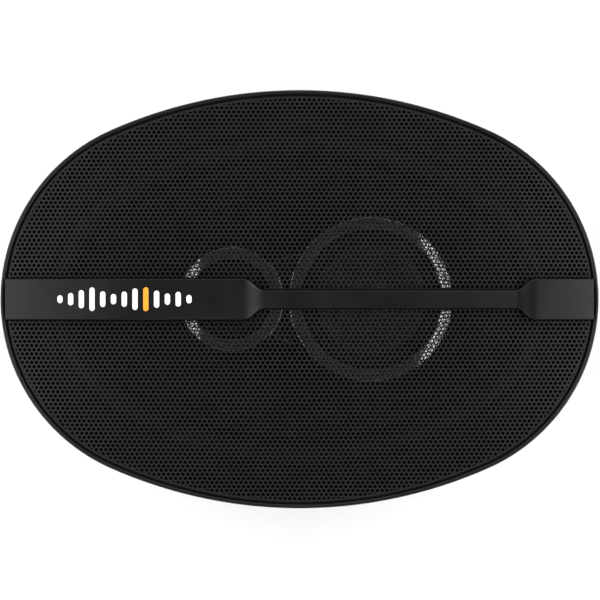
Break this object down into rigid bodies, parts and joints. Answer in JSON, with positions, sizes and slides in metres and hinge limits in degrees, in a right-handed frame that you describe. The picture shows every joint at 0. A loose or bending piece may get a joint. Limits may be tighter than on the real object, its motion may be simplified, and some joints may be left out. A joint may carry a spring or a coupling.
{
  "type": "coaxial car speaker",
  "caption": "Oval coaxial car loudspeaker with a perforated domed grille, a bar across it, a steel basket, a ring magnet and a midrange and tweeter on a centre post.",
  "frame": {"origin": "on the speaker's axis, in the rear face of the mounting flange, at the centre of its four holes", "axes": "+Z the way the speaker faces, +X along the long axis, +Y along the short axis"},
  "size_m": [0.246, 0.172, 0.1022],
  "materials": {
    "rim_plastic": "satin",
    "bar_plastic": "satin",
    "mesh_paint": "satin",
    "badge_silver": "satin",
    "badge_amber": "gloss",
    "ring_plastic": "satin",
    "basket_paint": "satin",
    "zinc_steel": "satin",
    "ferrite": "matte",
    "cone_paper": "matte",
    "surround_rubber": "matte",
    "gasket_foam": "matte",
    "spider_cloth": "matte",
    "former_foil": "satin",
    "copper_wire": "satin",
    "dust_felt": "matte",
    "tinsel_braid": "satin",
    "board_fibre": "matte",
    "tab_brass": "satin",
    "rivet_steel": "satin",
    "capacitor_sleeve": "gloss",
    "post_plastic": "satin",
    "lead_sheath": "satin",
    "pod_plastic": "satin",
    "trim_chrome": "polished",
    "driver_frame": "satin",
    "midrange_paper": "matte",
    "dome_silk": "satin"
  },
  "bodies": {
    "root": {"grille_base_ring": "ring_plastic", "basket": "basket_paint", "motor_rivets": "rivet_steel", "top_plate": "zinc_steel", "ring_magnet": "ferrite", "back_plate": "zinc_steel", "surround_gasket": "gasket_foam", "terminal_board": "board_fibre", "board_rivets": "rivet_steel", "terminal_positive": "tab_brass", "terminal_negative": "tab_brass", "terminal_rivets": "rivet_steel", "midrange_capacitor": "capacitor_sleeve", "tweeter_capacitor": "capacitor_sleeve", "coax_post": "post_plastic", "post_nut": "zinc_steel", "pod_leads": "lead_sheath", "pod_housing": "pod_plastic", "midrange_frame": "driver_frame", "midrange_trim_ring": "trim_chrome", "midrange_top_plate": "zinc_steel", "midrange_magnet": "ferrite", "midrange_yoke": "zinc_steel", "tweeter_clamp_plate": "pod_plastic", "tweeter_trim_ring": "trim_chrome", "tweeter_top_plate": "zinc_steel", "tweeter_magnet": "ferrite", "tweeter_yoke": "zinc_steel"},
    "grille": {"grille_ring": "rim_plastic", "grille_mesh": "mesh_paint", "grille_bar": "bar_plastic", "badge_bars": "badge_silver", "badge_accent": "badge_amber"},
    "woofer": {"woofer_cone": "cone_paper", "woofer_surround": "surround_rubber", "spider": "spider_cloth", "coil_former": "former_foil", "coil_winding": "copper_wire", "dust_ring": "dust_felt", "tinsel_lead_positive": "tinsel_braid", "tinsel_lead_negative": "tinsel_braid"},
    "midrange": {"midrange_cone": "midrange_paper", "midrange_surround": "surround_rubber", "midrange_dust_cap": "midrange_paper", "midrange_voice_coil": "copper_wire"},
    "tweeter": {"tweeter_dome": "dome_silk", "tweeter_surround": "dome_silk", "tweeter_voice_coil": "copper_wire"}
  },
  "joints": [
    {"name": "grille_lift", "type": "slide", "parent": "root", "child": "grille", "axis": [0, 0, 1], "range_m": [0, 0.04]},
    {"name": "woofer_travel", "type": "slide", "parent": "root", "child": "woofer", "axis": [0, 0, 1], "range_m": [-0.004, 0.004], "stiffness_N_per_m": 2800, "deforming": ["woofer_surround", "spider", "tinsel_lead_positive", "tinsel_lead_negative"]},
    {"name": "midrange_travel", "type": "slide", "parent": "root", "child": "midrange", "axis": [0, 0, 1], "range_m": [-0.001, 0.001], "stiffness_N_per_m": 1500, "deforming": ["midrange_surround"]},
    {"name": "tweeter_travel", "type": "slide", "parent": "root", "child": "tweeter", "axis": [0, 0, 1], "range_m": [-0.0003, 0.0003], "stiffness_N_per_m": 800, "deforming": ["tweeter_surround"]}
  ]
}
